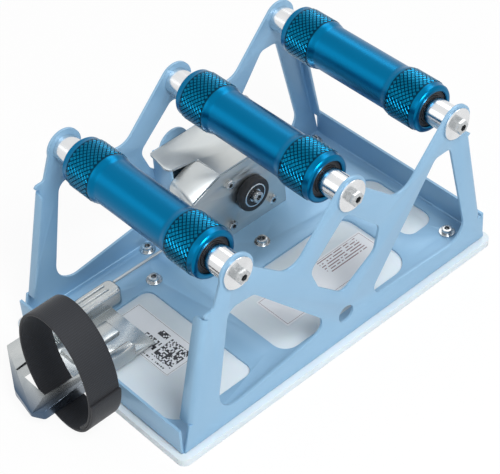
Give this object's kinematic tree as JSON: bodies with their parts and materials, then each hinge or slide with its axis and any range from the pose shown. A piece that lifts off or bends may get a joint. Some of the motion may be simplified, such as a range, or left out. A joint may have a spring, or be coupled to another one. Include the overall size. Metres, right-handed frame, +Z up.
{
  "type": "roller bench rest",
  "caption": "Folded sheet-metal bench rest with free-running rollers on cross axles, a bracket with a guide roller, and a slotted tongue with a webbing strap.",
  "frame": {"origin": "centre of the base pad's underside", "axes": "+Z up, +Y from the strap end to the back, +X towards the side plate away from the bracket"},
  "size_m": [0.19, 0.3478, 0.1546],
  "materials": {
    "blue_sheet": "light blue satin powder coat",
    "blue_sleeve": "deep blue anodised, knurled at the ends",
    "polished_steel": "bright polished steel",
    "zinc_plate": "bright zinc plate",
    "rubber_seal": "black seal",
    "base_pad": "pale translucent plastic, satin",
    "webbing": "charcoal hook and loop webbing",
    "label": "white label stock"
  },
  "bodies": {
    "frame": {"base_pad": "base_pad", "frame_floor": "blue_sheet", "near_side_plate": "blue_sheet", "far_side_plate": "blue_sheet", "bracket_housing": "blue_sheet", "bracket_cover": "zinc_plate", "bracket_side_plate": "zinc_plate", "tongue": "zinc_plate", "tie_rod": "zinc_plate", "strap": "webbing", "guide_roller_screw": "polished_steel", "code_label": "label", "note_label": "label", "bracket_screw_1": "polished_steel", "bracket_screw_2": "polished_steel", "bracket_screw_3": "polished_steel", "bracket_screw_4": "polished_steel", "floor_washer_front_left": "polished_steel", "floor_screw_front_left": "polished_steel", "floor_washer_mid_left": "polished_steel", "floor_screw_mid_left": "polished_steel", "floor_washer_cross_bar": "polished_steel", "floor_screw_cross_bar": "polished_steel", "floor_washer_centre": "polished_steel", "floor_screw_centre": "polished_steel", "floor_washer_back_left": "polished_steel", "floor_screw_back_left": "polished_steel", "floor_washer_back_right": "polished_steel", "floor_screw_back_right": "polished_steel", "front_axle_tube": "polished_steel", "front_axle_washer_near": "polished_steel", "front_axle_screw_near": "polished_steel", "front_axle_washer_far": "polished_steel", "front_axle_screw_far": "polished_steel", "middle_axle_tube": "polished_steel", "middle_axle_washer_near": "polished_steel", "middle_axle_screw_near": "polished_steel", "middle_axle_washer_far": "polished_steel", "middle_axle_screw_far": "polished_steel", "rear_axle_tube": "polished_steel", "rear_axle_washer_near": "polished_steel", "rear_axle_screw_near": "polished_steel", "rear_axle_washer_far": "polished_steel", "rear_axle_screw_far": "polished_steel"},
    "front_roller": {"front_roller_sleeve": "blue_sleeve", "front_roller_bearing_near": "rubber_seal", "front_roller_bearing_far": "rubber_seal"},
    "middle_roller": {"middle_roller_sleeve": "blue_sleeve", "middle_roller_bearing_near": "rubber_seal", "middle_roller_bearing_far": "rubber_seal"},
    "rear_roller": {"rear_roller_sleeve": "blue_sleeve", "rear_roller_bearing_near": "rubber_seal", "rear_roller_bearing_far": "rubber_seal"},
    "guide_roller": {"guide_roller_tyre": "rubber_seal", "guide_roller_hub": "polished_steel"}
  },
  "joints": [
    {"name": "front_roller_spin", "type": "hinge", "parent": "frame", "child": "front_roller", "pos_m": [0, -0.0885, 0.1356], "axis": [1, 0, 0], "continuous": true},
    {"name": "middle_roller_spin", "type": "hinge", "parent": "frame", "child": "middle_roller", "pos_m": [0, 0.0115, 0.1356], "axis": [1, 0, 0], "continuous": true},
    {"name": "rear_roller_spin", "type": "hinge", "parent": "frame", "child": "rear_roller", "pos_m": [0, 0.1115, 0.1356], "axis": [1, 0, 0], "continuous": true},
    {"name": "guide_roller_spin", "type": "hinge", "parent": "frame", "child": "guide_roller", "pos_m": [-0.045, 0.0365, 0.04], "axis": [1, 0, 0], "continuous": true}
  ]
}
